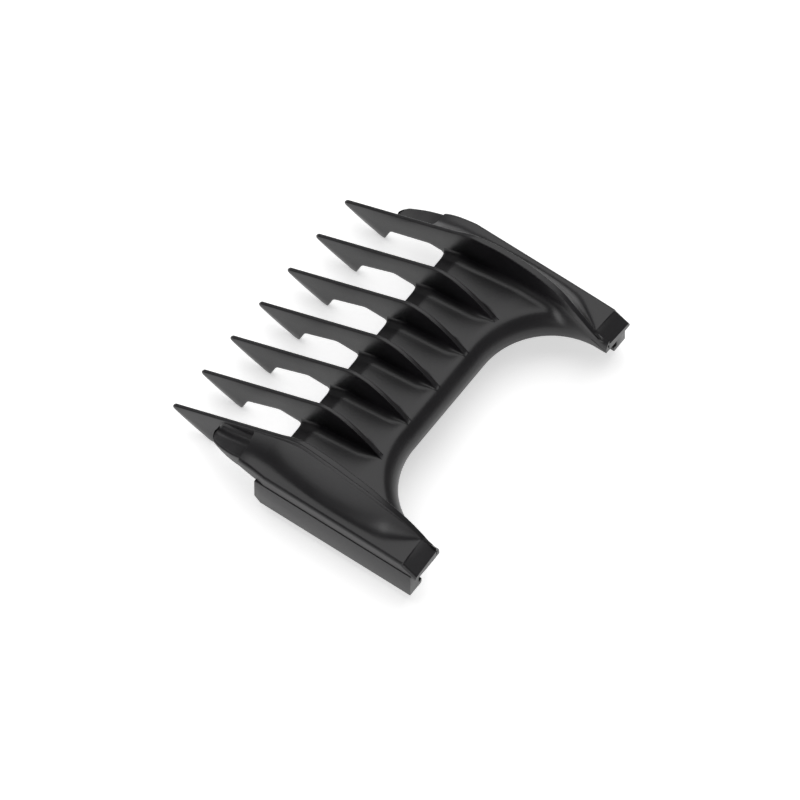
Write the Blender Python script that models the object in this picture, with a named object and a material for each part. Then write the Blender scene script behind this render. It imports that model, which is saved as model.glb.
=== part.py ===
"""Slide-on guard comb for a hair clipper, in metres.

The comb is one moulding, built here as its named features, each a closed solid.
X runs across the comb, +Y towards the tooth tips and +Z away from the blade.
The design's own Y starts just inside the rear ends of the rails, and its Z at the lowest
point of the hooks; an empty then centres the comb over the origin.
"""

import math

import bmesh
import bpy

MM = 0.001

# The blade that the comb slides over, and how closely the comb fits it.
BLADE_WIDTH = 46.0 * MM
BLADE_CLEARANCE = 0.25 * MM
CHANNEL_HEIGHT = 3.55 * MM

# The two rails at the sides of the blade.
WALL = 2.0 * MM
RAIL_LENGTH = 26.0 * MM
RAIL_OVERHANG = 0.3 * MM
RAIL_LIFT = 1.8 * MM
RAIL_CHAMFER = 1.0 * MM
LIP_REACH = 0.7 * MM
LIP_THICKNESS = 0.9 * MM
RAIL_ABOVE_ROOF = 0.35 * MM

# The bridge plate: thin at the front, thickest at the ridge beside the rear cut-out.
PLATE_FRONT_THICKNESS = 0.6 * MM
PLATE_BEND_THICKNESS = 1.9 * MM
PLATE_RIDGE_THICKNESS = 3.4 * MM
FRONT_BEVEL_LENGTH = 2.6 * MM
CUTOUT_RADIUS = 11.3 * MM
BAND_WIDTH = 2.1 * MM

# The teeth.
TOOTH_COUNT = 7
TOOTH_PITCH = 6.7 * MM
TOP_THICKNESS = 0.56 * MM
HOOK_THICKNESS = 1.2 * MM
CREST_HEIGHT = 14.15 * MM
CREST_ROUND = 0.75 * MM
OUTER_FIN_LIFT = 4.25 * MM
FIN_CREST_LENGTH = 3.4 * MM
TINE_SLOPE = math.radians(27.2)
TINE_FLAT = 4.2 * MM
TINE_REACH = 9.3 * MM
NOTCH_DROP = 2.95 * MM
HOOK_LEAN = 0.8 * MM
HOOK_RADIUS = 0.95 * MM
NOSE_LENGTH = 6.35 * MM
TIP_BLUNT = 0.6 * MM

# The side arms and flanges.
ARM_INSET = 0.5 * MM
ARM_MARGIN = 0.8 * MM
REAR_OVERHANG = 1.15 * MM
SHOULDER_THICKNESS = 2.35 * MM
SCOOP_DEPTH = 0.2 * MM
WALL_STEP = 0.15 * MM
NOSE_SHOULDER_SET_BACK = 0.7 * MM
FLANGE_NOSE = 3.4 * MM
FLANGE_NOSE_TAPER = 0.75 * MM
FLANGE_NOSE_FALL = 1.0 * MM
PAD_LENGTH = 2.8 * MM
PAD_THICKNESS = 2.0 * MM
PAD_REAR_THICKNESS = 1.0 * MM

# The low guards beside the outer tines.
GUARD_LENGTH = 5.6 * MM
GUARD_SET_IN = 0.5 * MM
GUARD_TAPER = 1.25 * MM
GUARD_DROP = 0.9 * MM
GUARD_REAR_HEIGHT = 2.15 * MM
GUARD_FRONT_HEIGHT = 0.4 * MM

# Gap kept between neighbouring features, and the smallest edge a feature is left with.
JOIN_GAP = 0.3 * MM
THIN_EDGE = 0.3 * MM

# Points in a rounded stretch.
ARC_STEPS = 6

HALF_BLADE = BLADE_WIDTH / 2 + BLADE_CLEARANCE
HALF_WIDTH = HALF_BLADE + WALL
LIP_TOP = RAIL_LIFT + LIP_THICKNESS
ROOF = LIP_TOP + CHANNEL_HEIGHT
GROOVE = ROOF + RAIL_ABOVE_ROOF
OUTER_TOOTH_X = TOOTH_PITCH * (TOOTH_COUNT - 1) / 2
ARM_INNER_X = OUTER_TOOTH_X - ARM_INSET
ARM_OUTER_X = OUTER_TOOTH_X + ARM_MARGIN
FLANGE_INNER_X = ARM_OUTER_X + JOIN_GAP
PLATE_EDGE_X = OUTER_TOOTH_X - TOOTH_PITCH / 2
CUTOUT_CORNER_X = ARM_INNER_X - CUTOUT_RADIUS
RIDGE_RADIUS = CUTOUT_RADIUS + BAND_WIDTH
RIDGE_TOP = ROOF + PLATE_RIDGE_THICKNESS
BEND_Y = RAIL_LENGTH - FRONT_BEVEL_LENGTH
NOTCH_Y = RAIL_LENGTH + TINE_REACH
HOOK_Y = NOTCH_Y + HOOK_LEAN + HOOK_RADIUS
TIP_Y = HOOK_Y + NOSE_LENGTH
FLANGE_REAR_Y = PAD_LENGTH - REAR_OVERHANG
FLANGE_FRONT_Y = RAIL_LENGTH + FLANGE_NOSE
SHOULDER = ROOF + SHOULDER_THICKNESS


def new_material(name):
    """Dark matte moulded plastic."""
    material = bpy.data.materials.new(name)
    material.use_nodes = True
    shader = material.node_tree.nodes["Principled BSDF"]
    shader.inputs["Base Color"].default_value = (0.055, 0.052, 0.058, 1.0)
    shader.inputs["Roughness"].default_value = 0.55
    shader.inputs["Metallic"].default_value = 0.0
    return material


def place(name, mesh, parent, x=0.0):
    """Make a named object from a mesh, set at x under its parent."""
    mesh.materials.append(new_material(name + "_plastic"))
    piece = bpy.data.objects.new(name, mesh)
    bpy.context.collection.objects.link(piece)
    piece.parent = parent
    piece.location.x = x
    return piece


def loft(name, rings, fold=()):
    """Closed mesh through rings of equally many points, its ends flat or folded across."""
    bm = bmesh.new()
    loops = [[bm.verts.new(point) for point in ring] for ring in rings]
    for ring, following in zip(loops, loops[1:]):
        for i in range(len(ring)):
            j = (i + 1) % len(ring)
            bm.faces.new((ring[i], ring[j], following[j], following[i]))
    for end in (loops[0], loops[-1]):
        bm.faces.new(end)
        if fold:
            bmesh.ops.connect_verts(bm, verts=[end[i] for i in fold])
    bmesh.ops.remove_doubles(bm, verts=bm.verts, dist=0.001 * MM)
    bmesh.ops.recalc_face_normals(bm, faces=bm.faces)
    mesh = bpy.data.meshes.new(name)
    bm.to_mesh(mesh)
    bm.free()
    return mesh


def span(start, end, steps):
    """Evenly spaced values from start to end."""
    return [start + (end - start) * i / steps for i in range(steps + 1)]


def blend(value, low, high, at_low, at_high):
    """Straight-line value between two ends."""
    share = (value - low) / (high - low)
    return at_low + (at_high - at_low) * share


def arc(centre, radius, start, end):
    """Points on an arc in the YZ plane, between two angles in degrees."""
    angles = [math.radians(a) for a in span(start, end, ARC_STEPS)]
    return [(centre[0] + radius * math.cos(a), centre[1] + radius * math.sin(a)) for a in angles]


def curve(start, control, end):
    """Points on a quadratic curve in the YZ plane."""
    points = []
    for t in span(0.0, 1.0, ARC_STEPS + 2):
        weights = ((1 - t) ** 2, 2 * t * (1 - t), t ** 2)
        points.append(tuple(
            sum(w * p[k] for w, p in zip(weights, (start, control, end))) for k in (0, 1)))
    return points


def rear_edge(x, radius):
    """Y of the rear cut-out's edge, or of the ridge that runs around it, at x."""
    beyond = abs(x) - CUTOUT_CORNER_X
    if beyond <= 0:
        return radius
    if beyond >= radius:
        return -REAR_OVERHANG
    return math.sqrt(radius ** 2 - beyond ** 2)


def floor_height(x, y):
    """Height of the top of the plate and arms."""
    foot = rear_edge(x, CUTOUT_RADIUS)
    ridge = rear_edge(x, RIDGE_RADIUS)
    if y < ridge:
        return blend(y, foot, ridge, ROOF, RIDGE_TOP)
    if y < RIDGE_RADIUS:
        return RIDGE_TOP
    if y < BEND_Y:
        return blend(y, RIDGE_RADIUS, BEND_Y, RIDGE_TOP, ROOF + PLATE_BEND_THICKNESS)
    return blend(y, BEND_Y, RAIL_LENGTH, ROOF + PLATE_BEND_THICKNESS, ROOF + PLATE_FRONT_THICKNESS)


def plate_ring(x):
    """Front-to-back outline of the plate and arms at x."""
    foot = rear_edge(x, CUTOUT_RADIUS)
    ridge = rear_edge(x, RIDGE_RADIUS)
    return [
        (x, foot, ROOF),
        (x, ridge, RIDGE_TOP),
        (x, RIDGE_RADIUS, RIDGE_TOP),
        (x, BEND_Y, ROOF + PLATE_BEND_THICKNESS),
        (x, RAIL_LENGTH, ROOF + PLATE_FRONT_THICKNESS),
        (x, RAIL_LENGTH, ROOF),
    ]


def build_plate(parent):
    """Bridge plate, between the two arms."""
    right = span(CUTOUT_CORNER_X, PLATE_EDGE_X - JOIN_GAP / 2, ARC_STEPS)
    stations = [-x for x in reversed(right)] + right
    place("bridge_plate", loft("bridge_plate", [plate_ring(x) for x in stations]), parent)


def build_arm(side, parent):
    """Side beam from the plate's front edge to the rear end of the comb."""
    sign = -1 if side == "left" else 1
    stations = span(PLATE_EDGE_X + JOIN_GAP / 2, ARM_INNER_X - THIN_EDGE / 4, ARC_STEPS)
    stations += span(ARM_INNER_X + THIN_EDGE / 4, ARM_OUTER_X, ARC_STEPS // 2)
    rings = [[(sign * x, y, z) for x, y, z in plate_ring(x)] for x in stations]
    name = side + "_arm"
    place(name, loft(name, rings), parent)


def tooth_x(number):
    """Centre of a tooth, counted from the left."""
    return (number - (TOOTH_COUNT + 1) / 2) * TOOTH_PITCH


def tine_top(y):
    """Height of a tine's straight top edge."""
    return CREST_HEIGHT - CREST_ROUND - math.tan(TINE_SLOPE) * (y - BEND_Y)


def tine_outline():
    """Outline of a tine from the top of its tip, round the nose and hook, to its root."""
    tip_top = (TIP_Y - TIP_BLUNT / 5, tine_top(TIP_Y))
    tip_low = (TIP_Y, tip_top[1] - TIP_BLUNT)
    hook = arc((HOOK_Y, HOOK_RADIUS), HOOK_RADIUS, -50, -180)
    notch = (NOTCH_Y, ROOF - NOTCH_DROP)
    bend = (RAIL_LENGTH + TINE_FLAT, ROOF)
    root = (RAIL_LENGTH + JOIN_GAP, ROOF)
    return [tip_top, tip_low, *hook, notch, bend, root]


def fin_base(x, tail_y, steps):
    """Underside of a fin, just clear of the plate or arm below it."""
    stops = [RAIL_LENGTH + JOIN_GAP, BEND_Y, *span(RIDGE_RADIUS, tail_y, steps)]
    sides = (x - HOOK_THICKNESS / 2, x + HOOK_THICKNESS / 2)
    points = []
    for y in stops:
        nearby = [min(y + shift, RAIL_LENGTH) for shift in (0.0, JOIN_GAP)]
        highest = max(floor_height(side, near) for side in sides for near in nearby)
        points.append((y, highest + JOIN_GAP))
    return points


def fin_outline(number):
    """Outline of a fin; on the first and last tooth it runs along the whole arm."""
    crest_foot = (BEND_Y, tine_top(BEND_Y))
    if number in (1, TOOTH_COUNT):
        tail_y = JOIN_GAP - REAR_OVERHANG
        control = ((BEND_Y + tail_y) / 2, CREST_HEIGHT + OUTER_FIN_LIFT)
        steps = ARC_STEPS
    else:
        tail_y = RIDGE_RADIUS + JOIN_GAP
        control = (BEND_Y - FIN_CREST_LENGTH, CREST_HEIGHT)
        steps = 1
    base = fin_base(tooth_x(number), tail_y, steps)
    tail = (tail_y, base[-1][1] + THIN_EDGE)
    return base + list(reversed(curve(crest_foot, control, tail)))


def build_tooth(number, parent):
    """Tine, hook and fin, thinnest along the top edge and folded slightly at the crest."""
    outline = tine_outline() + fin_outline(number)
    depth = tine_top(HOOK_Y)
    draft = (HOOK_THICKNESS - TOP_THICKNESS) / 2 / depth
    rings = []
    for side in (-1, 1):
        rings.append([])
        for y, z in outline:
            below = tine_top(max(y, BEND_Y)) - z
            rings[-1].append((side * (TOP_THICKNESS / 2 + draft * below), y, z))
    fold = [i for i, point in enumerate(outline) if point[0] == BEND_Y]
    name = "tooth_%d" % number
    place(name, loft(name, rings, fold), parent, tooth_x(number))


def flange_side(y):
    """Half width of the flange at its outer wall."""
    straight = HALF_WIDTH - WALL_STEP
    if y <= RAIL_LENGTH - NOSE_SHOULDER_SET_BACK:
        return straight
    start = RAIL_LENGTH - NOSE_SHOULDER_SET_BACK
    return blend(y, start, FLANGE_FRONT_Y, straight, straight - FLANGE_NOSE_TAPER)


def flange_ring(sign, y, top):
    """Cross-section of a flange or pad, from its inner foot over the top to the channel."""
    outer = flange_side(y)
    inner_wall = outer - WALL + WALL_STEP - JOIN_GAP
    section = [(FLANGE_INNER_X, ROOF), *top, (outer, GROOVE + JOIN_GAP)]
    section += [(inner_wall, GROOVE + JOIN_GAP), (inner_wall, ROOF)]
    return [(sign * x, y, z) for x, z in section]


def scoop(y):
    """Hollowed top of a flange, from the arm's edge to the shoulder."""
    outer = flange_side(y) - WALL_STEP
    fall = FLANGE_NOSE_FALL if y == FLANGE_FRONT_Y else 0.0
    points = []
    for share in span(0.0, 1.0, ARC_STEPS):
        z = RIDGE_TOP + (SHOULDER - RIDGE_TOP) * share - SCOOP_DEPTH * 4 * share * (1 - share)
        z -= fall
        points.append((FLANGE_INNER_X + (outer - FLANGE_INNER_X) * share, z))
    return points


def build_flange(side, parent):
    """Scooped shelf between an arm and a rail."""
    sign = -1 if side == "left" else 1
    stations = (FLANGE_REAR_Y + JOIN_GAP, RAIL_LENGTH - NOSE_SHOULDER_SET_BACK, FLANGE_FRONT_Y)
    name = side + "_flange"
    place(name, loft(name, [flange_ring(sign, y, scoop(y)) for y in stations]), parent)


def build_end_pad(side, parent):
    """Pad that slopes down to the rear end of a flange."""
    sign = -1 if side == "left" else 1
    name = side + "_end_pad"
    rings = []
    for y, thickness in ((-REAR_OVERHANG, PAD_REAR_THICKNESS), (FLANGE_REAR_Y, PAD_THICKNESS)):
        outer = flange_side(y)
        top = [(FLANGE_INNER_X, ROOF + thickness), (outer, ROOF + thickness)]
        rings.append(flange_ring(sign, y, top))
    place(name, loft(name, rings), parent)


def build_rail(side, parent):
    """Outer wall of a channel, with its lower front corner cut off, and the lip under it."""
    sign = -1 if side == "left" else 1
    inner = HALF_BLADE
    wall = [
        (-RAIL_OVERHANG, RAIL_LIFT),
        (-RAIL_OVERHANG, GROOVE),
        (RAIL_LENGTH, GROOVE),
        (RAIL_LENGTH, RAIL_LIFT + RAIL_CHAMFER),
        (RAIL_LENGTH - RAIL_CHAMFER, RAIL_LIFT),
    ]
    rings = [[(sign * x, y, z) for y, z in wall] for x in (inner, HALF_WIDTH)]
    place(side + "_rail_wall", loft(side + "_rail_wall", rings), parent)
    lip = [
        (inner - JOIN_GAP, RAIL_LIFT),
        (inner - JOIN_GAP, LIP_TOP),
        (inner - LIP_REACH, LIP_TOP),
        (inner - LIP_REACH, RAIL_LIFT + THIN_EDGE),
        (inner - LIP_REACH + THIN_EDGE / 2, RAIL_LIFT),
    ]
    ends = (-RAIL_OVERHANG, RAIL_LENGTH - RAIL_CHAMFER)
    rings = [[(sign * x, y, z) for x, z in lip] for y in ends]
    place(side + "_rail_lip", loft(side + "_rail_lip", rings), parent)


def build_front_guard(side, parent):
    """Low skirt beside the outer tine, lower and narrower towards its front."""
    sign = -1 if side == "left" else 1
    rear = FLANGE_FRONT_Y + JOIN_GAP
    inner = OUTER_TOOTH_X + HOOK_THICKNESS / 2 + JOIN_GAP
    rear_outer = flange_side(FLANGE_FRONT_Y) - GUARD_SET_IN
    low = ROOF - GUARD_DROP
    rings = []
    for share in span(0.0, 1.0, ARC_STEPS):
        outer = rear_outer - GUARD_TAPER * share ** 2
        height = GUARD_REAR_HEIGHT + (GUARD_FRONT_HEIGHT - GUARD_REAR_HEIGHT) * share
        section = [(inner, low), (inner, low + height), (outer, low + height), (outer, low)]
        rings.append([(sign * x, rear + GUARD_LENGTH * share, z) for x, z in section])
    name = side + "_front_guard"
    place(name, loft(name, rings), parent)


def main():
    for stale in list(bpy.data.objects):
        bpy.data.objects.remove(stale, do_unlink=True)
    origin = bpy.data.objects.new("comb_origin", None)
    bpy.context.collection.objects.link(origin)
    origin.location.y = -(TIP_Y - REAR_OVERHANG) / 2
    build_plate(origin)
    for number in range(1, TOOTH_COUNT + 1):
        build_tooth(number, origin)
    for side in ("left", "right"):
        build_arm(side, origin)
        build_flange(side, origin)
        build_rail(side, origin)
        build_front_guard(side, origin)
        build_end_pad(side, origin)
    bpy.context.view_layer.update()


main()
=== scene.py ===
"""Looks of a slide-on guard comb for a hair clipper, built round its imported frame.

The comb is one moulding in matt black plastic. Its pieces overlap inside the plastic,
so that no seam shows, and each stands for one or more of the frame's nodes.

Shapes are worked out in millimetres in the comb's own datum: X runs across the comb,
Y forwards from just inside the rear ends of the rails and Z up from the lowest point of the hooks.
"""

import logging
import math
from dataclasses import dataclass, field
from enum import Enum
from typing import Optional, Sequence

import bmesh
import bpy
from mathutils import Matrix, Vector

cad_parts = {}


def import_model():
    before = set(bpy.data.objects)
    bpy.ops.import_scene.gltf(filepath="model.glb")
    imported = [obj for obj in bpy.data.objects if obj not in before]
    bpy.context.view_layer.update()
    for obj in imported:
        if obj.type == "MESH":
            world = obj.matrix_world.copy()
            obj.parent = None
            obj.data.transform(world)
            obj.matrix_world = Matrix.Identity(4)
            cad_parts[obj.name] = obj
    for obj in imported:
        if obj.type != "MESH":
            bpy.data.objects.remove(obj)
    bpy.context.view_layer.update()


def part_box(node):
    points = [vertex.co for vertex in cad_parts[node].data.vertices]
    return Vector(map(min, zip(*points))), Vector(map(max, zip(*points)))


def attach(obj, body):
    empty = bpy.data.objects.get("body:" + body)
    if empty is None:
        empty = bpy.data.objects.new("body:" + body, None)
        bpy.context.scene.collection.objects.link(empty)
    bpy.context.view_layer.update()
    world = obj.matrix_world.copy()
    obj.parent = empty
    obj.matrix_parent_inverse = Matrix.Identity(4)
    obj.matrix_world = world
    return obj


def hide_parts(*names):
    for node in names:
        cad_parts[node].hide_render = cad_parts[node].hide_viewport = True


MM = 0.001
# Y of the plate's front edge in the comb's datum, and so its distance from the datum.
PLATE_FRONT = 26.0
# How far outside the outer teeth's middle planes the deck meets the shelves and guards.
SEAM_OFFSET = 0.2
LOG = logging.getLogger("guard_comb")

Point = tuple[float, float, float]
Flat = tuple[float, float]


class Side(Enum):
    """The comb's two sides, with the sign of X on each."""

    LEFT = -1
    RIGHT = 1

    @property
    def label(self) -> str:
        """The side's name, as the frame's nodes spell it."""
        return self.name.lower()


# --- Arithmetic on curves -----------------------------------------------------------


def spaced(start: float, stop: float, steps: int) -> list[float]:
    """Values at even steps between two ends.

    Args:
        start: First value.
        stop: Last value.
        steps: Number of intervals.

    Returns:
        steps + 1 values, both ends among them.
    """
    return [start + (stop - start) * i / steps for i in range(steps + 1)]


def soft_min(first: float, second: float, blend: float) -> float:
    """The smaller of two heights, with the crease between them rounded.

    Args:
        first: One height.
        second: The other height.
        blend: How far apart the heights are where the rounding starts.

    Returns:
        The rounded lower envelope.
    """
    near = max(0.0, 1.0 - abs(first - second) / blend)
    return min(first, second) - near * near * blend / 4


def cove(distance: float, radius: float) -> float:
    """Height of a hollow fillet above the floor, by its distance from a wall.

    Args:
        distance: Distance from the wall, negative inside it.
        radius: The fillet's radius.

    Returns:
        Nothing past the radius, rising towards the wall and steeply on inside it.
    """
    if radius <= 0.0 or distance >= radius:
        return 0.0
    across = min((radius - distance) / radius, 0.985)
    inside = max((radius - distance) / radius - 0.985, 0.0)
    return radius * (1.0 - math.sqrt(1.0 - across * across) + 5.0 * inside)


def foot_fillet(gap: float, radius: float, room: float, share: float, cap: float) -> float:
    """Height of the fillet at a fin's foot, kept below the fin's top.

    Args:
        gap: Distance from the fin's flank.
        radius: The fillet's full radius.
        room: Height of the fin above the floor.
        share: Largest radius, as a share of that height.
        cap: Largest height of the fillet, as a share of that height.

    Returns:
        Height above the floor.
    """
    return min(cove(gap, min(radius, share * room)), cap * room)


def arc(centre: Flat, radii: Flat, start: float, stop: float, steps: int) -> list[Flat]:
    """Points at even angles round part of an ellipse.

    Args:
        centre: Its centre.
        radii: Its half-axes along the first and the second coordinate.
        start: First angle in degrees, from the first axis towards the second.
        stop: Last angle in degrees.
        steps: Number of intervals.

    Returns:
        steps + 1 points.
    """
    angles = [math.radians(degrees) for degrees in spaced(start, stop, steps)]
    return [
        (centre[0] + radii[0] * math.cos(a), centre[1] + radii[1] * math.sin(a)) for a in angles
    ]


def rounded_end(end: float, reach: float, angles: Sequence[float]) -> list[Flat]:
    """Stations of a rounded end.

    Args:
        end: Place of the very end.
        reach: How far the rounding goes into the piece from there, with its direction.
        angles: Degrees round the end, 0 at the very end and 90 where the piece is full.

    Returns:
        (place, share of the full section) for each angle.
    """
    turns = [math.radians(degrees) for degrees in angles]
    return [(end + reach * (1 - math.cos(turn)), math.sin(turn)) for turn in turns]


def through(stops: Sequence[Flat], at: float) -> float:
    """Height of a smooth curve through stops, which doesn't overshoot between them.

    Args:
        stops: (place, value) pairs in rising order of place.
        at: The place asked for.

    Returns:
        The curve's value there, held past its ends.
    """
    if at <= stops[0][0]:
        return stops[0][1]
    if at >= stops[-1][0]:
        return stops[-1][1]
    i = max(k for k in range(len(stops) - 1) if stops[k][0] <= at)
    slopes = [(b[1] - a[1]) / (b[0] - a[0]) for a, b in zip(stops, stops[1:])]

    def lean(k: int) -> float:
        """Slope of the curve at a stop.

        Args:
            k: The stop's number.

        Returns:
            Harmonic mean of the slopes beside it, or level at a peak or a dip.
        """
        if k == 0 or k == len(stops) - 1:
            return slopes[0 if k == 0 else -1]
        before, after = slopes[k - 1], slopes[k]
        return 0.0 if before * after <= 0 else 2 * before * after / (before + after)

    (y0, z0), (y1, z1) = stops[i], stops[i + 1]
    step = y1 - y0
    t = (at - y0) / step
    return (
        (2 * t**3 - 3 * t**2 + 1) * z0
        + (t**3 - 2 * t**2 + t) * step * lean(i)
        + (-2 * t**3 + 3 * t**2) * z1
        + (t**3 - t**2) * step * lean(i + 1)
    )


def rounded_path(corners: Sequence[tuple[float, float, float]], steps: int = 5) -> list[Flat]:
    """A path through corners, each eased by its own amount.

    Args:
        corners: (y, z, ease) for each corner; ease is how far from it the easing starts.
        steps: Number of intervals in an eased corner.

    Returns:
        The path's points.
    """
    path: list[Flat] = []
    for i, (y, z, ease) in enumerate(corners):
        if ease <= 0.0 or i in (0, len(corners) - 1):
            path.append((y, z))
            continue
        ends = []
        for other in (corners[i - 1], corners[i + 1]):
            run = math.dist((y, z), other[:2])
            ends.append((y + (other[0] - y) * ease / run, z + (other[1] - z) * ease / run))
        for t in spaced(0.0, 1.0, steps):
            weights = ((1 - t) ** 2, 2 * t * (1 - t), t * t)
            trio = (ends[0], (y, z), ends[1])
            path.append(tuple(sum(w * p[k] for w, p in zip(weights, trio)) for k in (0, 1)))
    return path


def along(path: Sequence[Flat], at: float) -> float:
    """Height of a path whose first coordinate only rises or only falls.

    Args:
        path: The path's points.
        at: First coordinate of the place asked for.

    Returns:
        The second coordinate there, held past the ends.
    """
    ordered = path if path[0][0] <= path[-1][0] else list(reversed(path))
    if at <= ordered[0][0]:
        return ordered[0][1]
    for (y0, z0), (y1, z1) in zip(ordered, ordered[1:]):
        if at <= y1:
            return z0 if y1 - y0 < 1e-9 else z0 + (z1 - z0) * (at - y0) / (y1 - y0)
    return ordered[-1][1]


def filled(stops: Sequence[float], widest: float) -> list[float]:
    """Stations through given stops with none further apart than a limit.

    Args:
        stops: Stations that have to be there.
        widest: Largest gap allowed.

    Returns:
        All stations in rising order, near doubles dropped.
    """
    ordered = sorted(stops)
    result = [ordered[0]]
    for stop in ordered[1:]:
        if stop - result[-1] < 0.015:
            continue
        gap = stop - result[-1]
        result += spaced(result[-1], stop, max(1, math.ceil(gap / widest)))[1:]
    return result


# --- What the frame gives -----------------------------------------------------------


@dataclass(frozen=True)
class Datum:
    """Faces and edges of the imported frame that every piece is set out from."""

    rear: float
    half_width: float
    blade_half: float
    rail_length: float
    rail_rear: float
    rail_lift: float
    groove: float
    roof: float
    ridge_top: float
    tooth_pitch: float
    outer_tooth: float
    tip: float
    rear_end: float

    @classmethod
    def from_frame(cls) -> "Datum":
        """Reads the datum from the nodes' boxes.

        Returns:
            The datum, in millimetres.
        """
        wall_low, wall_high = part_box("left_rail_wall")
        plate_low, plate_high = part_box("bridge_plate")
        pad_low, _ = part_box("left_end_pad")
        centres = [sum(corner.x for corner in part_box(f"tooth_{n}")) / 2 for n in (1, 2)]
        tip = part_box("tooth_4")[1].y
        rear = plate_high.y / MM - PLATE_FRONT
        return cls(
            rear=rear,
            half_width=-wall_low.x / MM,
            blade_half=-wall_high.x / MM,
            rail_length=wall_high.y / MM - rear,
            rail_rear=wall_low.y / MM - rear,
            rail_lift=wall_low.z / MM,
            groove=wall_high.z / MM,
            roof=plate_low.z / MM,
            ridge_top=plate_high.z / MM,
            tooth_pitch=(centres[1] - centres[0]) / MM,
            outer_tooth=-centres[0] / MM,
            tip=tip / MM - rear,
            rear_end=pad_low.y / MM - rear,
        )

    @property
    def seam(self) -> float:
        """|X| inside the outer teeth where the deck meets the pieces beside it."""
        return self.outer_tooth + SEAM_OFFSET

    def place(self, point: Point) -> Vector:
        """A datum point as a point of the frame, in metres."""
        return Vector((point[0], point[1] + self.rear, point[2])) * MM


# --- Finishes -----------------------------------------------------------------------


def linear(hex_colour: str) -> tuple[float, float, float, float]:
    """An sRGB colour as the linear one that shaders take.

    Args:
        hex_colour: Six hexadecimal digits, with or without a leading hash.

    Returns:
        Red, green, blue and an alpha of one.
    """
    digits = hex_colour.lstrip("#")
    channels = [int(digits[i : i + 2], 16) / 255 for i in (0, 2, 4)]
    curve = [c / 12.92 if c <= 0.04045 else ((c + 0.055) / 1.055) ** 2.4 for c in channels]
    return (*curve, 1.0)


def add_node(
    tree: bpy.types.NodeTree,
    kind: str,
    settings: Optional[dict[str, object]] = None,
    links: Optional[dict[str, bpy.types.NodeSocket]] = None,
    **values: object,
) -> bpy.types.Node:
    """Adds a node with its settings, socket values and incoming links.

    Args:
        tree: Tree that the node joins.
        kind: Type name of the node.
        settings: The node's own properties.
        links: Output socket that feeds each named input.
        **values: Value of each input, with underscores for spaces in its name.

    Returns:
        The new node.
    """
    node = tree.nodes.new(kind)
    for name, value in (settings or {}).items():
        setattr(node, name, value)
    for name, value in values.items():
        node.inputs[name.replace("_", " ")].default_value = value
    for name, source in (links or {}).items():
        socket = node.inputs[int(name)] if name.isdigit() else node.inputs[name]
        tree.links.new(source, socket)
    return node


def bare_material(name: str) -> tuple[bpy.types.Material, bpy.types.NodeSocket]:
    """A material that holds nothing but Object coordinates.

    Args:
        name: Name of the material.

    Returns:
        The material and the coordinates' output socket.
    """
    material = bpy.data.materials.new(name)
    material.use_nodes = True
    material.node_tree.nodes.clear()
    return material, add_node(material.node_tree, "ShaderNodeTexCoord").outputs["Object"]


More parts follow.
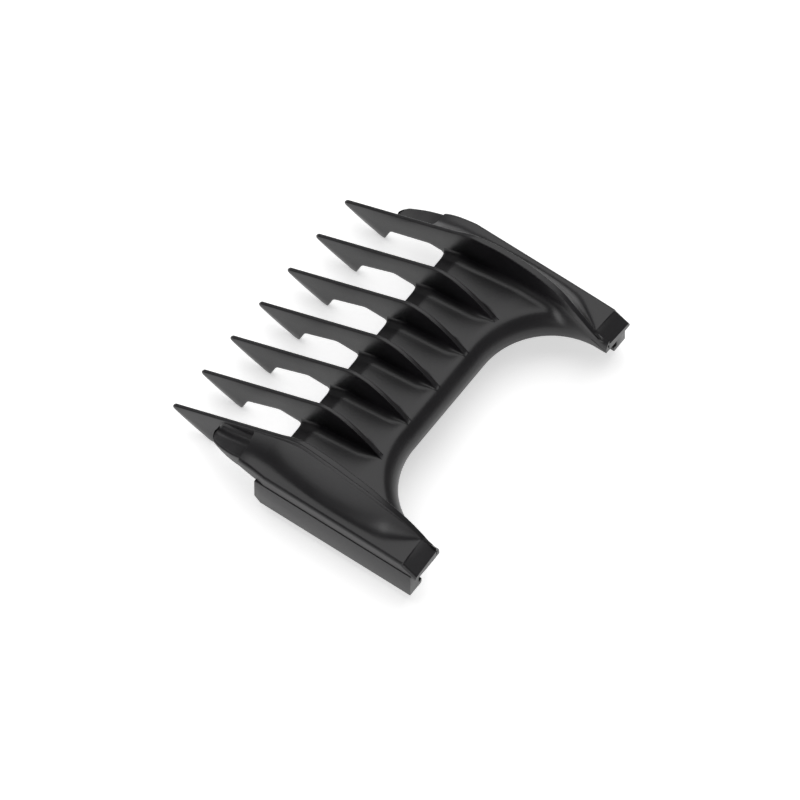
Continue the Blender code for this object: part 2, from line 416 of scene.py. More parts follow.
@dataclass(frozen=True)
class MouldedPlastic:
    """Black ABS, injection moulded in a spark-eroded mould.

    The eroded mould leaves a fine even grain, so that the black spreads light softly,
    shows no sharp reflection and turns pale where it is seen edge on.
    """

    name: str = "moulded_black_abs"
    tone: str = "#121113"
    pale_tone: str = "#1c1a1d"
    roughness: float = 0.38
    polished: float = 0.31
    ior: float = 1.47
    grain_mm: float = 0.22
    grain_depth_mm: float = 0.016
    flow_mm: float = 7.0
    dust_and_glint_speck_mm: float = 1.1

    def build(self) -> bpy.types.Material:
        """Makes the material.

        Returns:
            A material that reads Object coordinates only.
        """
        material, place = bare_material(self.name)
        tree = material.node_tree
        # Eroded grain is a few hundredths of a millimetre on the real part; it is drawn
        # at about a fifth of a millimetre so that it shows.
        grain = add_node(
            tree, "ShaderNodeTexNoise", links={"Vector": place},
            Scale=1 / (self.grain_mm * MM), Detail=3.0, Roughness=0.6,
        ).outputs["Fac"]
        # Slow changes of tone where the melt flowed and cooled.
        flow = add_node(
            tree, "ShaderNodeTexNoise", links={"Vector": place},
            Scale=1 / (self.flow_mm * MM), Detail=4.0, Roughness=0.55,
        ).outputs["Fac"]
        # Sparse pale specks, up to a fifth of a millimetre across: partly dust, and partly painted
        # glints where the grain would catch the light.
        dust_and_glint_distance = add_node(
            tree, "ShaderNodeTexVoronoi", links={"Vector": place},
            Scale=1 / (self.dust_and_glint_speck_mm * MM), Randomness=1.0,
        ).outputs["Distance"]
        dust_and_glint_speck = add_node(
            tree, "ShaderNodeMapRange", links={"Value": dust_and_glint_distance},
            From_Min=0.1, From_Max=0.04, To_Min=0.0, To_Max=0.35,
        ).outputs["Result"]
        tone_share = add_node(
            tree, "ShaderNodeMath", {"operation": "MULTIPLY"}, {"0": grain, "1": flow},
        ).outputs[0]
        tone_spread = add_node(
            tree, "ShaderNodeMapRange", links={"Value": tone_share},
            From_Min=0.12, From_Max=0.38, To_Min=0.0, To_Max=0.7,
        ).outputs["Result"]
        tone_dust_and_glint = add_node(
            tree, "ShaderNodeMath", {"operation": "ADD", "use_clamp": True},
            {"0": tone_spread, "1": dust_and_glint_speck},
        ).outputs[0]
        # Mixing towards the pale tone gives the random flow tone, plus the specks of dust and
        # painted glints.
        colour = add_node(tree, "ShaderNodeMix", {"data_type": "RGBA"}, {"Factor": tone_dust_and_glint})
        colour.inputs[6].default_value = linear(self.tone)
        colour.inputs[7].default_value = linear(self.pale_tone)
        rough = add_node(
            tree, "ShaderNodeMapRange", links={"Value": flow},
            From_Min=0.3, From_Max=0.7, To_Min=self.polished, To_Max=self.roughness,
        ).outputs["Result"]
        relief = add_node(
            tree, "ShaderNodeBump", links={"Height": grain},
            Strength=0.55, Distance=self.grain_depth_mm * MM,
        ).outputs["Normal"]
        shader = add_node(
            tree, "ShaderNodeBsdfPrincipled",
            links={"Base Color": colour.outputs[2], "Roughness": rough, "Normal": relief},
            Metallic=0.0, IOR=self.ior,
        )
        add_node(tree, "ShaderNodeOutputMaterial", links={"Surface": shader.outputs["BSDF"]})
        return material


@dataclass(frozen=True)
class SweepPaper:
    """White matt paper of a studio sweep, lit a little from behind so that shadows fade."""

    name: str = "matt_white_paper"
    tone: str = "#f0f0f0"
    roughness: float = 0.9
    fibre_mm: float = 3.0
    glow: float = 0.6

    def build(self) -> bpy.types.Material:
        """Makes the material.

        Returns:
            A material that reads Object coordinates only.
        """
        material, place = bare_material(self.name)
        tree = material.node_tree
        fibre = add_node(
            tree, "ShaderNodeTexNoise", links={"Vector": place},
            Scale=1 / (self.fibre_mm * MM), Detail=2.0,
        ).outputs["Fac"]
        relief = add_node(
            tree, "ShaderNodeBump", links={"Height": fibre},
            Strength=0.02, Distance=0.01 * MM,
        ).outputs["Normal"]
        shader = add_node(
            tree, "ShaderNodeBsdfPrincipled", links={"Normal": relief},
            Base_Color=linear(self.tone), Roughness=self.roughness,
            Emission_Color=linear(self.tone), Emission_Strength=self.glow,
        )
        add_node(tree, "ShaderNodeOutputMaterial", links={"Surface": shader.outputs["BSDF"]})
        return material


# --- Making pieces ------------------------------------------------------------------


@dataclass
class Bench:
    """Turns rings of points into finished pieces of the comb."""

    datum: Datum
    plastic: bpy.types.Material
    body: str = "root"
    slot: str = "comb_plastic"
    made: list[str] = field(default_factory=list)

    def shell(self, name: str, rings: Sequence[Sequence[Point]]) -> bpy.types.Object:
        """Closed shell through rings of equally many points.

        Args:
            name: Name of the new object.
            rings: Cross-sections in order, in millimetres in the comb's datum.

        Returns:
            An object whose normals point outwards.
        """
        bm = bmesh.new()
        loops = [[bm.verts.new(self.datum.place(p)) for p in ring] for ring in rings]
        count = len(loops[0])
        for ring, following in zip(loops, loops[1:]):
            for i in range(count):
                j = (i + 1) % count
                bm.faces.new((ring[i], ring[j], following[j], following[i]))
        bm.faces.new(loops[0])
        bm.faces.new(loops[-1])
        bmesh.ops.remove_doubles(bm, verts=bm.verts, dist=0.002 * MM)
        bmesh.ops.dissolve_degenerate(bm, edges=bm.edges, dist=0.001 * MM)
        bmesh.ops.recalc_face_normals(bm, faces=bm.faces)
        mesh = bpy.data.meshes.new(name)
        bm.to_mesh(mesh)
        bm.free()
        mesh.materials.append(self.plastic)
        piece = bpy.data.objects.new(name, mesh)
        bpy.context.collection.objects.link(piece)
        return piece

    def settle(self, piece: bpy.types.Object, smooth_angle: float = 35.0) -> None:
        """Applies the piece's modifiers and shades it smooth up to an angle.

        Args:
            piece: The piece, at the origin.
            smooth_angle: Edges sharper than this many degrees stay crisp.
        """
        graph = bpy.context.evaluated_depsgraph_get()
        graph.update()
        done = bpy.data.meshes.new_from_object(piece.evaluated_get(graph), depsgraph=graph)
        piece.modifiers.clear()
        rough_mesh = piece.data
        piece.data = done
        bpy.data.meshes.remove(rough_mesh)
        done.name = piece.name
        done.shade_smooth()
        done.set_sharp_from_angle(angle=math.radians(smooth_angle))

    def ease_edges(self, piece: bpy.types.Object, width: float, sharper_than: float) -> None:
        """Rounds the edges that a mould would round.

        Args:
            piece: The piece to ease.
            width: How far the rounding reaches from an edge, in millimetres.
            sharper_than: Only edges sharper than this many degrees are eased.
        """
        bevel = piece.modifiers.new("eased_edges", "BEVEL")
        bevel.width = width * MM
        bevel.segments = 3
        bevel.limit_method = "ANGLE"
        bevel.angle_limit = math.radians(sharper_than)
        bevel.use_clamp_overlap = True

    def hand_over(self, piece: bpy.types.Object, *nodes: str) -> None:
        """Ties a finished piece to the frame and reports it.

        Args:
            piece: The finished piece.
            *nodes: Frame nodes that the piece stands for.
        """
        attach(piece, self.body)
        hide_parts(*nodes)
        self.made.append(piece.name)
        faces = len(piece.data.polygons)
        LOG.info("%s: %d faces, stands for %s", piece.name, faces, ", ".join(nodes))


# --- Teeth --------------------------------------------------------------------------


@dataclass
class Tooth:
    """One tooth: a hooked tine in front of the plate and a fin on top of it."""

    datum: Datum
    centre: float = 0.0
    crest: Flat = (23.4, 13.4)
    slope: float = math.tan(math.radians(27.2))
    fin_stops: tuple[Flat, ...] = (
        (13.0, 9.55), (13.6, 10.2), (15.0, 11.28), (16.6, 12.33), (18.4, 13.18),
        (20.4, 13.72), (22.0, 13.78), (23.4, 13.38), (25.0, 12.58),
    )
    tail: float = 13.25
    top_half: float = 0.3
    top_round: float = 0.15
    waist_half: float = 0.43
    waist_depth: float = 1.5
    draft: float = 0.045
    nose_half: float = 0.2
    nose_spread: float = 0.32
    edge_round: float = 0.14
    hook_round: float = 0.34
    hook_run: float = 0.8
    thinnest: float = 0.02
    top_limit: float = 0.4
    edge_limit: float = 0.3
    notch: Flat = (35.3, 3.3)
    bend: Flat = (29.9, 6.38)
    root: float = 6.62
    hook_centre: Flat = (37.15, 0.95)
    hook_radius: float = 0.95
    hook_turn: float = -50.0
    tip_blunt: float = 0.55
    nose_bulge: float = 0.22
    sunk: float = 0.06
    tail_round: float = 0.5
    tip_round: float = 0.35
    root_gap: float = 0.02
    station_gap: float = 0.7

    def hook(self) -> list[Flat]:
        """Round underside of the hook, from the nose to the notch behind it."""
        radii = (self.hook_radius, self.hook_radius)
        return arc(self.hook_centre, radii, self.hook_turn, -180.0, 11)

    def top(self, y: float) -> float:
        """Height of the tooth's top edge.

        Args:
            y: Place along the comb.

        Returns:
            Height of the straight tine, or of the fin behind its crest.
        """
        if y >= self.fin_stops[-1][0]:
            return self.crest[1] - self.slope * (y - self.crest[0])
        return through(self.fin_stops, y)

    def underside(self) -> list[Flat]:
        """Lower edge of the tine from its tip, round the hook, to the plate.

        Returns:
            (y, z) points, y falling all the way.
        """
        tip_low = self.top(self.datum.tip) - self.tip_blunt
        hook = self.hook()
        rest = rounded_path([
            (*hook[-1], 0.0),
            (*self.notch, 0.4),
            (*self.bend, 0.5),
            (self.datum.rail_length, self.root, 0.0),
        ])
        run = math.dist(hook[0], (self.datum.tip, tip_low))
        out = ((tip_low - hook[0][1]) / run, -(self.datum.tip - hook[0][0]) / run)
        nose = []
        for share in spaced(0.0, 1.0, 8)[1:-1]:
            bulge = self.nose_bulge * 4 * share * (1 - share)
            nose.append((
                self.datum.tip + (hook[0][0] - self.datum.tip) * share + out[0] * bulge,
                tip_low + (hook[0][1] - tip_low) * share + out[1] * bulge,
            ))
        return [(self.datum.tip, tip_low), *nose, *hook, *rest[1:]]

    def half_thickness(self, y: float, z: float) -> float:
        """Half the tooth's thickness at a point of its flank.

        Args:
            y: Place along the comb.
            z: Height.

        Returns:
            Distance from the tooth's middle plane to its flank.
        """
        depth = max(self.top(y) - z, 0.0)
        if depth < self.waist_depth:
            half = self.top_half + (self.waist_half - self.top_half) * depth / self.waist_depth
        else:
            half = self.waist_half + self.draft * (depth - self.waist_depth)
        low, high = self.hook()[0], (self.datum.tip, self.top(self.datum.tip) - self.tip_blunt)
        run = math.dist(low, high)
        inward = ((high[0] - low[0]) * (z - low[1]) - (high[1] - low[1]) * (y - low[0])) / run
        return min(half, self.nose_half + self.nose_spread * max(inward, 0.0))

    def shift(self, y: float) -> float:
        """Sideways place of the tooth's middle plane at y."""
        return self.centre

    def section(self, y: float, low: float, high: float, share: float = 1.0) -> list[Point]:
        """Cross-section of the tooth at one station.

        Args:
            y: The station.
            low: Height of its lower edge.
            high: Height of its top edge.
            share: Part of the full thickness, less than one where an end is rounded.

        Returns:
            Points round the section.
        """
        tall = max(high - low, self.thinnest)
        land = self.half_thickness(y, high)
        cap = min(self.top_round, land, tall * self.top_limit)
        hooked = min(max((y - self.notch[0]) / self.hook_run, 0.0), 1.0)
        ease = self.edge_round + (self.hook_round - self.edge_round) * hooked
        ease = min(ease, tall * self.edge_limit)
        half = [(0.0, high), *arc((land - cap, high - cap), (cap, cap), 90.0, 0.0, 4)]
        for part in spaced(0.0, 1.0, 7)[1:-1]:
            z = high - cap + (low + ease - high + cap) * part
            half.append((self.half_thickness(y, z), z))
        foot = self.half_thickness(y, low + ease)
        turn = min(ease, foot)
        half += arc((foot - turn, low + turn), (turn, -turn), 0.0, 90.0, 4)
        x = self.shift(y)
        right = [(x + w * share, y, z) for w, z in half]
        left = [(x - w * share, y, z) for w, z in reversed(half[1:])]
        return right + left

    def rings(self) -> list[list[Point]]:
        """All cross-sections of the tooth, from its tail to its tip.

        Returns:
            Rings of equally many points.
        """
        under = self.underside()
        plate_edge = self.datum.rail_length
        hidden = self.datum.roof + self.sunk
        stations = rounded_end(self.tail, self.tail_round, (10, 28, 48, 68))
        root, tip = plate_edge + self.root_gap, self.datum.tip - self.tip_round
        body = filled(
            [self.tail + self.tail_round, self.crest[0], plate_edge - self.root_gap, root, tip]
            + [p[0] for p in under if root < p[0] < tip],
            self.station_gap,
        )
        stations += [(y, 1.0) for y in body]
        sections = []
        for y, share in stations:
            low = hidden if y < plate_edge else along(under, y)
            sections.append(self.section(y, low, self.top(y), share))
        for y, share in rounded_end(self.datum.tip, -self.tip_round, (60, 35, 12)):
            low, high = along(under, y), self.top(y)
            middle, reach = (low + high) / 2, (high - low) / 2 * share
            sections.append(self.section(y, middle - reach, middle + reach, share))
        return sections


@dataclass
class OuterTooth(Tooth):
    """First or last tooth, whose fin runs back along the whole arm and bows outwards."""

    side: Side = Side.LEFT
    fin_stops: tuple[Flat, ...] = (
        (-1.1, 6.8), (0.0, 7.9), (1.5, 9.1), (4.0, 10.95), (8.0, 13.1), (12.0, 14.2),
        (17.0, 14.75), (21.0, 14.45), (23.0, 13.72), (25.0, 12.58),
    )
    bow: tuple[Flat, ...] = (
        (1.5, 0.0), (4.0, 0.17), (8.0, 0.5), (12.0, 0.52), (17.0, 0.37), (21.0, 0.1), (24.0, 0.0),
    )
    tail: float = -1.05
    bend: Flat = (28.7, 6.55)
    root: float = 6.72
    fuller: tuple[Flat, ...] = ((0.0, 0.0), (5.0, 0.1), (14.0, 0.17), (20.0, 0.12), (25.0, 0.0))

    def shift(self, y: float) -> float:
        """Sideways place of the bowed fin at y."""
        return self.side.value * (self.datum.outer_tooth + through(self.bow, y))

    def half_thickness(self, y: float, z: float) -> float:
        """Half the thickness of the tooth, fuller along its bowed fin."""
        return super().half_thickness(y, z) + through(self.fuller, y)


@dataclass
class ToothRow:
    """The teeth between the two outer ones, repeated at even steps by a node tree."""

    bench: Bench
    first: int = 2
    last: int = 6

    def tree(self) -> bpy.types.GeometryNodeTree:
        """Node tree that repeats a tooth across the comb.

        Returns:
            A tree with a count, a pitch and a material as named inputs.
        """
        tree = bpy.data.node_groups.new("tooth_row", "GeometryNodeTree")
        takes = {"Tooth": "Geometry", "Count": "Int", "Pitch": "Float", "Plastic": "Material"}
        for name, kind in takes.items():
            tree.interface.new_socket(name, in_out="INPUT", socket_type=f"NodeSocket{kind}")
        tree.interface.new_socket("Row", in_out="OUTPUT", socket_type="NodeSocketGeometry")
        given = add_node(tree, "NodeGroupInput")
        less = add_node(
            tree, "ShaderNodeMath", {"operation": "SUBTRACT"}, {"0": given.outputs["Count"]},
        )
        less.inputs[1].default_value = 1.0
        width = add_node(
            tree, "ShaderNodeMath", {"operation": "MULTIPLY"},
            {"0": less.outputs[0], "1": given.outputs["Pitch"]},
        )
        start = add_node(
            tree, "ShaderNodeMath", {"operation": "MULTIPLY"}, {"0": width.outputs[0]},
        )
        start.inputs[1].default_value = -0.5
        origin = add_node(tree, "ShaderNodeCombineXYZ", links={"X": start.outputs[0]})
        step = add_node(tree, "ShaderNodeCombineXYZ", links={"X": given.outputs["Pitch"]})
        at = {"Count": given.outputs["Count"], "Start Location": origin.outputs[0]}
        line = add_node(
            tree, "GeometryNodeMeshLine", {"mode": "OFFSET"}, {**at, "Offset": step.outputs[0]},
        )
        row = add_node(
            tree, "GeometryNodeInstanceOnPoints",
            links={"Points": line.outputs["Mesh"], "Instance": given.outputs["Tooth"]},
        )
        real = add_node(
            tree, "GeometryNodeRealizeInstances", links={"Geometry": row.outputs["Instances"]},
        )
        dressed = add_node(
            tree, "GeometryNodeSetMaterial",
            links={"Geometry": real.outputs["Geometry"], "Material": given.outputs["Plastic"]},
        )
        add_node(tree, "NodeGroupOutput", links={"0": dressed.outputs["Geometry"]})
        return tree

    def build(self) -> bpy.types.Object:
        """Makes the row as one plain mesh.

        Returns:
            The finished piece.
        """
        tooth = Tooth(self.bench.datum)
        piece = self.bench.shell("inner_teeth", tooth.rings())
        modifier = piece.modifiers.new("tooth_row", "NODES")
        modifier.node_group = self.tree()
        wanted = {
            "Count": self.last - self.first + 1,
            "Pitch": self.bench.datum.tooth_pitch * MM,
            "Plastic": self.bench.plastic,
        }
        for item in modifier.node_group.interface.items_tree:
            if item.name in wanted:
                modifier[item.identifier] = wanted[item.name]
        self.bench.settle(piece)
        self.bench.hand_over(piece, *[f"tooth_{n}" for n in range(self.first, self.last + 1)])
        return piece


# --- Bridge plate and arms ----------------------------------------------------------


@dataclass
class Deck:
    """Bridge plate and the two arms beside the rear cut-out, as one sheet of plastic."""

    bench: Bench
    cutout_radius: float = 11.3
    band_width: float = 2.1
    bend: float = 23.4
    bend_height: float = 8.15
    front_height: float = 6.85
    foot_land: float = 0.3
    band_fullness: float = 0.4
    arm_inset: float = 0.5
    arm_start: float = 17.6
    gullet_radius: float = 0.75
    gullet_wall: float = 0.42
    fin_cove: float = 1.25
    outer_cove: float = 1.4
    cove_share: float = 0.5
    cove_cap: float = 0.9
    foot_share: float = 0.3
    ridge_crease: float = 0.12
    bevel_crease: float = 0.14
    band_crease: float = 0.42
    thinnest: float = 0.1
    edge_cut: float = 0.06
    fin_steps: tuple[float, ...] = (
        0.26, 0.32, 0.38, 0.43, 0.48, 0.53, 0.58, 0.65, 0.75, 0.88, 1.05, 1.25, 1.5, 1.75,
    )
    band_shares: tuple[float, ...] = (0.0, 0.01, 0.04, 0.1, 0.2, 0.35, 0.55, 0.75, 0.88, 0.95)
    bend_reach: float = 0.35
    station_gap: float = 0.5

    @property
    def corner(self) -> float:
        """X of the centres of the cut-out's rounded corners."""
        datum = self.bench.datum
        return datum.outer_tooth - self.arm_inset - self.cutout_radius

    def reach(self, x: float, y: float) -> float:
        """Distance of a point from the line that the cut-out is drawn round.

        Args:
            x: Place across the comb.
            y: Place along the comb.

        Returns:
            The cut-out's radius on its edge, and more outside it.
        """
        return math.hypot(max(abs(x) - self.corner, 0.0), max(y, 0.0))

    def rear(self, x: float) -> float:
        """Y of the deck's rear edge.

        Args:
            x: Place across the comb.

        Returns:
            The edge of the cut-out, or the rear end of an arm.
        """
        beyond = abs(x) - self.corner
        if beyond <= 0.0:
            return self.cutout_radius
        if beyond >= self.cutout_radius:
            return self.bench.datum.rear_end
        return math.sqrt(self.cutout_radius**2 - beyond**2)

    def fins(self) -> list[float]:
        """X of every inner fin."""
        pitch = self.bench.datum.tooth_pitch
        return [pitch * k for k in (-2, -1, 0, 1, 2)]

    def front(self, x: float) -> float:
        """Y of the deck's front edge.

        Args:
            x: Place across the comb.

        Returns:
            The straight edge, or past it where a rounded gullet runs out to a tine.
        """
        datum = self.bench.datum
        walls = [abs(x - fin) - self.gullet_wall for fin in self.fins()]
        walls.append(datum.outer_tooth - self.gullet_wall - abs(x))
        return datum.rail_length + max(cove(max(w, 0.0), self.gullet_radius) for w in walls)

    def height(self, x: float, y: float) -> float:
        """Height of the deck's upper face.

        Args:
            x: Place across the comb.
            y: Place along the comb.

        Returns:
            Height with the creases rounded and the fins' fillets added.
        """
        datum = self.bench.datum
        ridge = self.cutout_radius + self.band_width
        fall = (datum.ridge_top - self.bend_height) / (self.bend - ridge)
        steep = (self.bend_height - self.front_height) / (datum.rail_length - self.bend)
        rise = datum.ridge_top - datum.roof - self.foot_land
        level = datum.ridge_top
        sloping = datum.ridge_top - fall * (y - ridge)
        bevel = self.bend_height - steep * (y - self.bend)
        share = max((self.reach(x, y) - self.cutout_radius) / self.band_width, 0.0)
        band = datum.roof + self.foot_land + rise * share**self.band_fullness
        z = soft_min(level, sloping, self.ridge_crease)
        z = soft_min(z, bevel, self.bevel_crease)
        z = soft_min(z, band, self.band_crease)
        lift = 0.0
        inner = Tooth(datum)
        outer = OuterTooth(datum)
        if y > inner.tail:
            room = inner.top(y) - z
            for fin in self.fins():
                gap = abs(x - fin) - inner.half_thickness(y, z + self.foot_share * room)
                lift = max(lift, self.fillet(gap, self.fin_cove, room))
        room = max(outer.top(y) - z, 0.0)
        flank = outer.half_thickness(y, z + self.foot_share * room)
        gap = datum.outer_tooth + through(outer.bow, y) - flank - abs(x)
        return z + max(lift, self.fillet(gap, self.outer_cove, room))

    def fillet(self, gap: float, radius: float, room: float) -> float:
        """Height of a fin's foot fillet on the deck."""
        return foot_fillet(gap, radius, room, self.cove_share, self.cove_cap)

    def stations(self) -> list[float]:
        """X of every cross-section, closest where a fillet or the cut-out's corner turns."""
        seam = self.bench.datum.seam
        half: list[float] = [0.0, seam]
        for fin in self.fins():
            for step in self.fin_steps:
                half += [abs(fin + step), abs(fin - step)]
        for degrees in range(0, 91, 5):
            half.append(self.corner + self.cutout_radius * math.sin(math.radians(degrees)))
        half += spaced(self.corner + self.cutout_radius - self.edge_cut, seam, 6)
        half += spaced(self.arm_start, seam, 24)
        half = filled([x for x in half if 0.0 <= x <= seam], self.station_gap)
        return [-x for x in reversed(half[1:])] + half

    def ring(self, x: float) -> list[Point]:
        """Outline of the deck from front to rear at x.

        Args:
            x: The cross-section's place.

        Returns:
            Points along the upper face and back under it.
        """
        datum = self.bench.datum
        rear, front = self.rear(x), self.front(x)
        ridge_beyond = max(abs(x) - self.corner, 0.0)
        outer = self.cutout_radius + self.band_width
        ridge = math.sqrt(max(outer**2 - ridge_beyond**2, 0.0))
        ridge = max(ridge, rear + 0.4)
        parts = [rear + (ridge - rear) * share for share in self.band_shares]
        parts += [ridge, ridge + 0.1, ridge + 0.25]
        parts += spaced(ridge + 0.5, self.bend - self.bend_reach, 18)
        parts += [self.bend - 0.15, self.bend, self.bend + 0.15]
        last = front - 0.12
        parts += spaced(self.bend + self.bend_reach, last, 5)
        top = [(x, y, max(self.height(x, y), datum.roof + self.thinnest)) for y in parts]
        z = self.height(x, last)
        top += [(x, front - 0.03, z - 0.1), (x, front, z - 0.2)]
        cut = datum.roof + self.edge_cut
        under = [(x, front, cut), (x, front - self.edge_cut, datum.roof)]
        under += [(x, rear + (front - rear) * share, datum.roof) for share in (0.66, 0.33)]
        under += [(x, rear + self.edge_cut, datum.roof), (x, rear, cut)]
        return top + under

    def build(self) -> bpy.types.Object:
        """Makes the deck.

        Returns:
            The finished piece.
        """
        piece = self.bench.shell("bridge_deck", [self.ring(x) for x in self.stations()])
        self.bench.settle(piece, 40.0)
        self.bench.hand_over(piece, "bridge_plate", "left_arm", "right_arm")
        return piece


# --- Side shelves, rails and front guards -------------------------------------------


@dataclass
class SideShelf:
    """Scooped shelf beside an outer fin, with the pad that slopes down at its rear."""

    bench: Bench
    side: Side
    step: float = 0.12
    shoulder: tuple[Flat, ...] = (
        (1.2, 8.5), (6.0, 8.6), (24.5, 8.65), (26.5, 8.55), (28.2, 8.2), (29.4, 7.75), (30.6, 7.2),
    )
    inner_rise: float = 0.4
    rise_curve: float = 1.5
    roll_width: float = 0.5
    roll_height: float = 0.6
    nose_start: float = 25.2
    nose_end: float = 29.4
    nose_ease: float = 0.6
    nose_taper: float = 0.75
    pad_front: float = 1.2
    pad_front_height: float = 8.3
    pad_rear_height: float = 7.1
    pad_inner_rise: float = 0.6
    pad_riser: float = 4.0
    pad_crease: float = 0.2
    pad_cove: float = 0.15
    scoop_reach: float = 3.4
    scoop_height: float = 0.84
    scoop_curve: float = 2.1
    scoop_span: float = 2.6
    scoop_steps: tuple[float, ...] = (
        -0.3, -0.12, 0.0, 0.03, 0.08, 0.15, 0.25, 0.38, 0.55, 0.75, 1.0, 1.3, 1.65, 2.0,
    )
    edge_cut: float = 0.08
    station_gap: float = 0.8

    def wall(self, y: float) -> float:
        """|X| of the shelf's outer wall at y."""
        straight = self.bench.datum.half_width - self.step
        return straight - through(
            ((self.nose_start - self.nose_ease, 0.0), (self.nose_start + self.nose_ease, 0.16),
             (self.nose_end - 0.3, self.nose_taper - 0.1), (self.nose_end, self.nose_taper)),
            y,
        )

    def top(self, x: float, y: float) -> float:
        """Height of the shelf's upper face.

        Args:
            x: Distance from the comb's middle.
            y: Place along the comb.

        Returns:
            Height of the scoop, or of the pad behind it.
        """
        datum = self.bench.datum
        outer = OuterTooth(datum)
        edge = through(self.shoulder, y)
        share = (x - datum.seam) / (self.wall(y) - self.roll_width - datum.seam)
        share = min(max(share, 0.0), 1.0)
        scooped = edge + self.inner_rise * (1 - share) ** self.rise_curve
        slope = (self.pad_front_height - self.pad_rear_height) / (self.pad_front - datum.rear_end)
        pad = self.pad_front_height + slope * (y - self.pad_front)
        pad += self.pad_inner_rise * (1 - share)
        riser = pad + self.pad_riser * (y - self.pad_front)
        z = soft_min(scooped, max(pad, riser), self.pad_crease)
        room = max(outer.top(y) - z, 0.0)
        if y < self.pad_front + self.pad_crease:
            return z + min(cove(x - self.face(y), self.pad_cove), 0.9 * room)
        reach = min(self.scoop_reach, room) + 0.1
        away = min(max((x - self.face(y)) / reach, 0.0), 1.0)
        return z + self.scoop_height * room * (1 - away) ** self.scoop_curve

    def face(self, y: float) -> float:
        """|X| of the outer fin's flank, near its crest.

        Args:
            y: Place along the comb.

        Returns:
            Where the scoop starts, counted outwards from the comb's middle.
        """
        outer = OuterTooth(self.bench.datum)
        middle = self.bench.datum.outer_tooth + through(outer.bow, y)
        low = through(self.shoulder, y) + self.inner_rise
        room = max(outer.top(y) - low, 0.0)
        return middle + outer.half_thickness(y, low + self.scoop_height * room)

    def ring(self, y: float) -> list[Point]:
        """Cross-section of the shelf at y.

        Args:
            y: The station.

        Returns:
            Points over the top, down the outer wall and back under the roof.
        """
        datum = self.bench.datum
        wall = self.wall(y)
        thick = datum.half_width - datum.blade_half - self.step
        crown = wall - self.roll_width
        face = self.face(y)
        across = [face + (crown - face) * step / self.scoop_span for step in self.scoop_steps]
        across += spaced(across[-1], crown, 3)[1:]
        section: list[Flat] = [(datum.seam, datum.roof + 0.3)]
        section += [(x, self.top(x, y)) for x in across]
        edge = self.top(crown, y)
        low = datum.groove - (0.3 if y < self.nose_start else 0.0)
        drop = min(self.roll_height, edge - low - 0.3)
        section += arc((crown, edge - drop), (self.roll_width, drop), 90.0, 0.0, 10)[1:]
        cut = self.edge_cut
        section += [(wall, low + cut), (wall - cut, low)]
        section += [(wall - thick + cut, low), (wall - thick, low + cut)]
        section += [(wall - thick, datum.roof), (datum.seam, datum.roof)]
        return [(self.side.value * x, y, z) for x, z in section]

    def build(self) -> bpy.types.Object:
        """Makes the shelf.

        Returns:
            The finished piece.
        """
        stations = [self.bench.datum.rear_end, 0.4, 3.0]
        stations += [self.pad_front + beyond for beyond in (-0.12, 0.0, 0.08, 0.16, 0.26, 0.4)]
        stations += [self.nose_start - self.nose_ease, self.nose_start + self.nose_ease]
        stations = filled(stations + [self.nose_end - 0.3, self.nose_end], self.station_gap)
        piece = self.bench.shell(f"{self.side.label}_shelf", [self.ring(y) for y in stations])
        self.bench.settle(piece, 40.0)
        self.bench.hand_over(piece, f"{self.side.label}_flange", f"{self.side.label}_end_pad")
        return piece


@dataclass
class Rail:
    """Outer wall of a blade channel with the lip under the blade."""

    bench: Bench
    side: Side
    lip_reach: float = 0.7
    lip_thick: float = 0.9
    chamfer: float = 1.0
    bead: float = 0.15
    edge_round: float = 0.14

    def ring(self, y: float) -> list[Point]:
        """Cross-section of the rail at y.

        Args:
            y: The station.

        Returns:
            Points round the wall and its lip.
        """
        datum = self.bench.datum
        out, inn, low = datum.half_width, datum.blade_half, datum.rail_lift
        lip, top = inn - self.lip_reach, low + self.lip_thick
        section = [
            (out, low), (out, datum.groove), (out - 0.4, datum.groove),
            (inn + 0.2, datum.groove), (inn, datum.groove), (inn, top),
            (lip + 0.35, top), (lip + 0.28, top + self.bead), (lip, top + self.bead),
            (lip, low + 0.25), (lip + 0.2, low),
        ]
        cut = low + max(0.0, y - datum.rail_length + self.chamfer)
        return [(self.side.value * x, y, max(z, cut)) for x, z in section]

    def build(self) -> bpy.types.Object:
        """Makes the rail.

        Returns:
            The finished piece.
        """
        length = self.bench.datum.rail_length
        stations = [self.bench.datum.rail_rear, length / 2, length - self.chamfer, length]
        piece = self.bench.shell(f"{self.side.label}_rail", [self.ring(y) for y in stations])
        self.bench.ease_edges(piece, self.edge_round, 30.0)
        self.bench.settle(piece, 40.0)
        self.bench.hand_over(piece, f"{self.side.label}_rail_wall", f"{self.side.label}_rail_lip")
        return piece


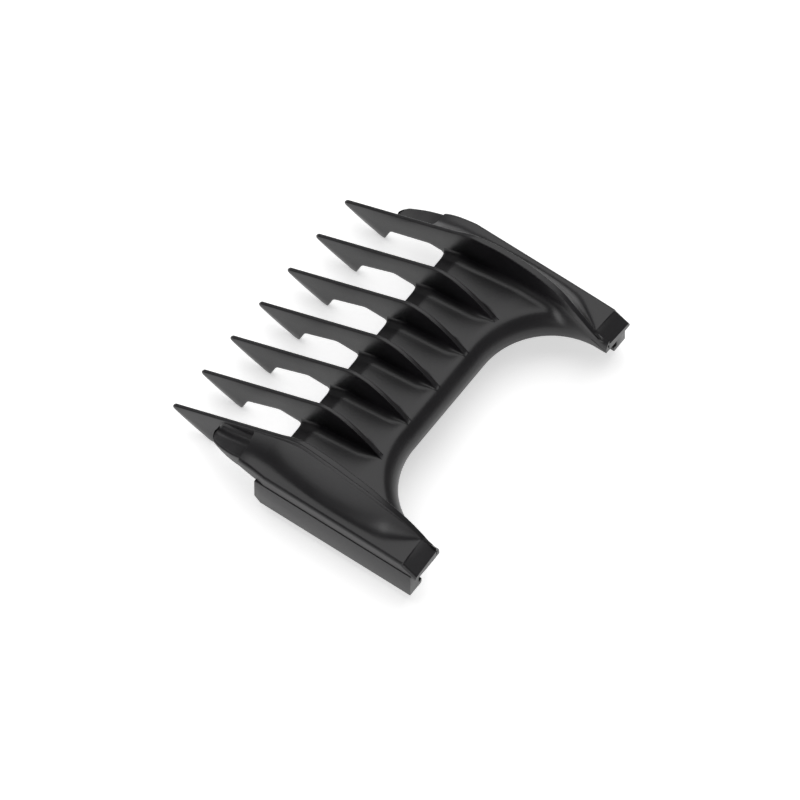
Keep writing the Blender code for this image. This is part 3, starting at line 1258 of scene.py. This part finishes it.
@dataclass
class FrontGuard:
    """Low trough beside an outer tine, in front of the shelf."""

    bench: Bench
    side: Side
    start: float = 29.0
    end: float = 35.3
    nose: float = 0.9
    narrowest: float = 0.45
    lowest: float = 0.5
    nose_lift: float = 0.5
    rear_outer: float = 24.0
    taper: float = 1.35
    low: float = 5.3
    rim: tuple[Flat, ...] = (
        (28.2, 8.2), (29.4, 7.7), (30.6, 7.2), (32.0, 6.7), (33.6, 6.15), (35.3, 5.7),
    )
    hollow: float = 0.3
    tine_cove: float = 1.2
    cove_share: float = 0.6
    cove_cap: float = 0.8
    rim_width: float = 0.4

    def ring(self, y: float, pinch: float = 1.0) -> list[Point]:
        """Cross-section of the guard at y.

        Args:
            y: The station.
            pinch: Part of the full section, less than one where the front is rounded.

        Returns:
            Points over the trough and rim, down the wall and back.
        """
        inner = self.bench.datum.seam
        share = (y - self.start) / (self.end - self.start)
        outer = self.rear_outer - self.taper * share**2
        rim = through(self.rim, y) - 0.04
        outer = inner + (outer - inner) * (self.narrowest + (1 - self.narrowest) * pinch)
        rim = self.low + (rim - self.low) * (self.lowest + (1 - self.lowest) * pinch)
        low = self.low + self.nose_lift * (1 - pinch)
        lip = outer - self.rim_width
        section: list[Flat] = []
        tine = OuterTooth(self.bench.datum)
        for part in spaced(0.0, 1.0, 16):
            x = inner + (lip - inner) * part
            z = rim - self.hollow * pinch * (1 - part**2)
            room = max(tine.top(y) - z, 0.0)
            gap = x - self.bench.datum.outer_tooth - tine.half_thickness(y, z)
            foot = foot_fillet(gap, self.tine_cove, room, self.cove_share, self.cove_cap)
            section.append((x, z + pinch * foot))
        # The rim's rounded top, the wall and its rounded foot.
        section += [(lip + 0.12, rim + 0.03), (outer - 0.12, rim), (outer - 0.03, rim - 0.08)]
        section += [(outer, rim - 0.25), (outer, low + 0.3), (outer - 0.1, low + 0.08)]
        section += [(outer - 0.3, low), (inner + 0.3, low), (inner, low + 0.2)]
        return [(self.side.value * x, y, z) for x, z in section]

    def build(self) -> bpy.types.Object:
        """Makes the guard.

        Returns:
            The finished piece.
        """
        rings = [self.ring(y) for y in spaced(self.start, self.end - self.nose, 12)]
        nose = rounded_end(self.end, -self.nose, (75, 60, 45, 30, 15, 3))
        rings += [self.ring(y, pinch) for y, pinch in nose]
        piece = self.bench.shell(f"{self.side.label}_guard", rings)
        self.bench.settle(piece, 45.0)
        self.bench.hand_over(piece, f"{self.side.label}_front_guard")
        return piece


# --- Studio -------------------------------------------------------------------------


@dataclass(frozen=True)
class Softbox:
    """A square soft light that faces the comb.

    Its azimuth is 0 behind the comb's rear and rises towards the comb's right.
    """

    name: str
    azimuth: float
    elevation: float
    away: float
    size: float
    power: float


@dataclass
class Studio:
    """White sweep, soft lights and the camera."""

    softboxes: tuple[Softbox, ...] = (
        Softbox("overhead_softbox", 125.0, 66.0, away=1.1, size=1.6, power=12.5),
        Softbox("left_softbox", -80.0, 25.0, away=1.6, size=0.6, power=6.0),
    )
    azimuth: float = -54.24
    elevation: float = 59.17
    aim: Point = (-2.489, -3.328, 5.3)
    field_mm: float = 109.6
    lens: float = 1500.0
    sensor: float = 36.0
    floor_half: float = 2.5
    world_tone: str = "#ffffff"
    world_strength: float = 0.2

    def floor(self) -> bpy.types.Object:
        """Makes the floor that the comb rests on.

        Returns:
            The floor.
        """
        bm = bmesh.new()
        bmesh.ops.create_grid(bm, x_segments=4, y_segments=4, size=self.floor_half)
        mesh = bpy.data.meshes.new("paper_floor")
        bm.to_mesh(mesh)
        bm.free()
        mesh.materials.append(SweepPaper().build())
        floor = bpy.data.objects.new("paper_floor", mesh)
        bpy.context.collection.objects.link(floor)
        return floor

    def light(self, box: Softbox) -> None:
        """Adds a soft light, which the camera doesn't see.

        Args:
            box: Where the light stands, in degrees and metres, and its watts.
        """
        data = bpy.data.lights.new(box.name, "AREA")
        data.shape = "SQUARE"
        data.size = box.size
        data.energy = box.power
        lamp = bpy.data.objects.new(box.name, data)
        bpy.context.collection.objects.link(lamp)
        back = self.direction(box.azimuth, box.elevation)
        lamp.location = back * box.away
        lamp.rotation_euler = back.to_track_quat("Z", "Y").to_euler()
        lamp.visible_camera = False

    def direction(self, azimuth: float, elevation: float) -> Vector:
        """Unit vector from the comb towards a place round it."""
        a, e = math.radians(azimuth), math.radians(elevation)
        return Vector((math.sin(a) * math.cos(e), -math.cos(a) * math.cos(e), math.sin(e)))

    def world(self) -> None:
        """Gives the studio an even pale surround."""
        world = bpy.data.worlds.new("studio_surround")
        bpy.context.scene.world = world
        world.use_nodes = True
        sky = world.node_tree.nodes["Background"]
        sky.inputs["Color"].default_value = linear(self.world_tone)
        sky.inputs["Strength"].default_value = self.world_strength

    def camera(self) -> None:
        """Adds the camera above the comb's left rear, with its picture level."""
        data = bpy.data.cameras.new("studio_camera")
        data.lens = self.lens
        data.sensor_width = self.sensor
        distance = self.field_mm * self.lens / self.sensor * MM
        data.clip_start, data.clip_end = 0.05, 20.0
        camera = bpy.data.objects.new("studio_camera", data)
        bpy.context.collection.objects.link(camera)
        back = self.direction(self.azimuth, self.elevation)
        turn = math.radians(self.azimuth)
        right = Vector((math.cos(turn), math.sin(turn), 0.0))
        up = back.cross(right)
        camera.matrix_world = Matrix.Translation(Vector(self.aim) * MM + back * distance) @ Matrix(
            (right, up, back)
        ).transposed().to_4x4()
        bpy.context.scene.camera = camera

    def build(self) -> None:
        """Sets up the floor, lights, surround and camera."""
        self.floor()
        self.world()
        for box in self.softboxes:
            self.light(box)
        self.camera()
        bpy.context.scene.view_settings.view_transform = "Standard"


def main() -> None:
    """Builds the comb's looks round the frame, then the studio."""
    logging.basicConfig(level=logging.INFO, format="%(name)s: %(message)s")
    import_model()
    bench = Bench(Datum.from_frame(), MouldedPlastic().build())
    Deck(bench).build()
    ToothRow(bench).build()
    for side, number in ((Side.LEFT, 1), (Side.RIGHT, 7)):
        tooth = OuterTooth(bench.datum, side=side)
        piece = bench.shell(f"{side.label}_outer_tooth", tooth.rings())
        bench.settle(piece)
        bench.hand_over(piece, f"tooth_{number}")
        SideShelf(bench, side).build()
        Rail(bench, side).build()
        FrontGuard(bench, side).build()
    Studio().build()
    LOG.info("%d pieces made", len(bench.made))
    bpy.context.view_layer.update()


if __name__ == "__main__":
    main()
